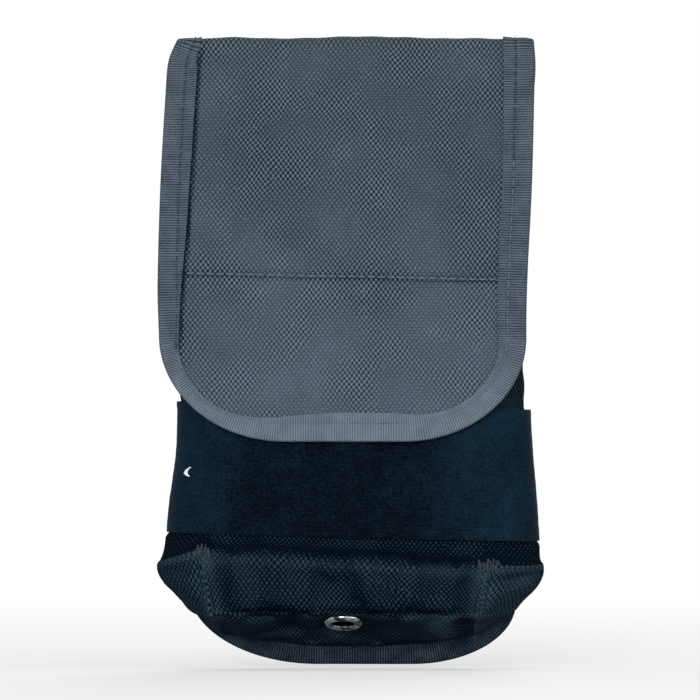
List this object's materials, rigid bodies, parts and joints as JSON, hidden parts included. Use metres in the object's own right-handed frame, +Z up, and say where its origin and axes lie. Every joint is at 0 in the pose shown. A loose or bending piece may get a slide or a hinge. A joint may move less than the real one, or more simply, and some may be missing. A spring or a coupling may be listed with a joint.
{
  "type": "dive belt weight pouch",
  "caption": "Woven nylon pouch that carries diving weight on a waist belt: box-bottomed pocket with a drain eyelet, wide elastic wrap and a fold-over flap.",
  "frame": {"origin": "middle of the belt seat on the rear face of the back panel, level with the centre line of a 50 mm belt", "axes": "+Z up as worn, +Y out of the back of the pouch towards the wearer, +X to the right of someone facing the flap"},
  "size_m": [0.1491, 0.0422, 0.244],
  "materials": {
    "cordura": "faded black ballistic-weave nylon, matte with a faint sheen on the yarns",
    "pocket_cordura": "darker, less faded ballistic-weave nylon, matte",
    "grosgrain": "ribbed grosgrain tape folded over the edges, matte",
    "elastic": "near-black ribbed woven elastic, satin",
    "hook_and_loop": "black hook tape and napped loop tape, dull",
    "webbing": "black polyester webbing, satin",
    "nickel": "polished nickel-plated steel",
    "thread": "bonded nylon thread, dull"
  },
  "bodies": {
    "pouch": {"back_panel": "cordura", "edge_binding": "grosgrain", "front_panel": "pocket_cordura", "side_gusset_left": "pocket_cordura", "side_gusset_right": "pocket_cordura", "mouth_binding": "grosgrain", "loop_tape": "hook_and_loop", "corner_tack_left": "thread", "corner_tack_right": "thread", "drain_grommet": "nickel", "grommet_washer": "nickel", "elastic_band": "elastic", "belt_loop_left": "webbing", "belt_loop_right": "webbing"},
    "flap": {"flap_upper": "cordura", "flap_upper_binding_left": "grosgrain", "flap_upper_binding_right": "grosgrain"},
    "flap_tip": {"flap_lower": "cordura", "flap_lower_binding": "grosgrain", "hook_tape": "hook_and_loop"}
  },
  "joints": [
    {"name": "flap_fold", "type": "hinge", "parent": "pouch", "child": "flap", "pos_m": [0, -0.0046, 0.0875], "axis": [-1, 0, 0], "range_deg": [0, 172]},
    {"name": "tip_peel", "type": "hinge", "parent": "flap", "child": "flap_tip", "pos_m": [0, -0.0293, -0.0008], "axis": [-1, 0, 0], "range_deg": [0, 130]}
  ]
}
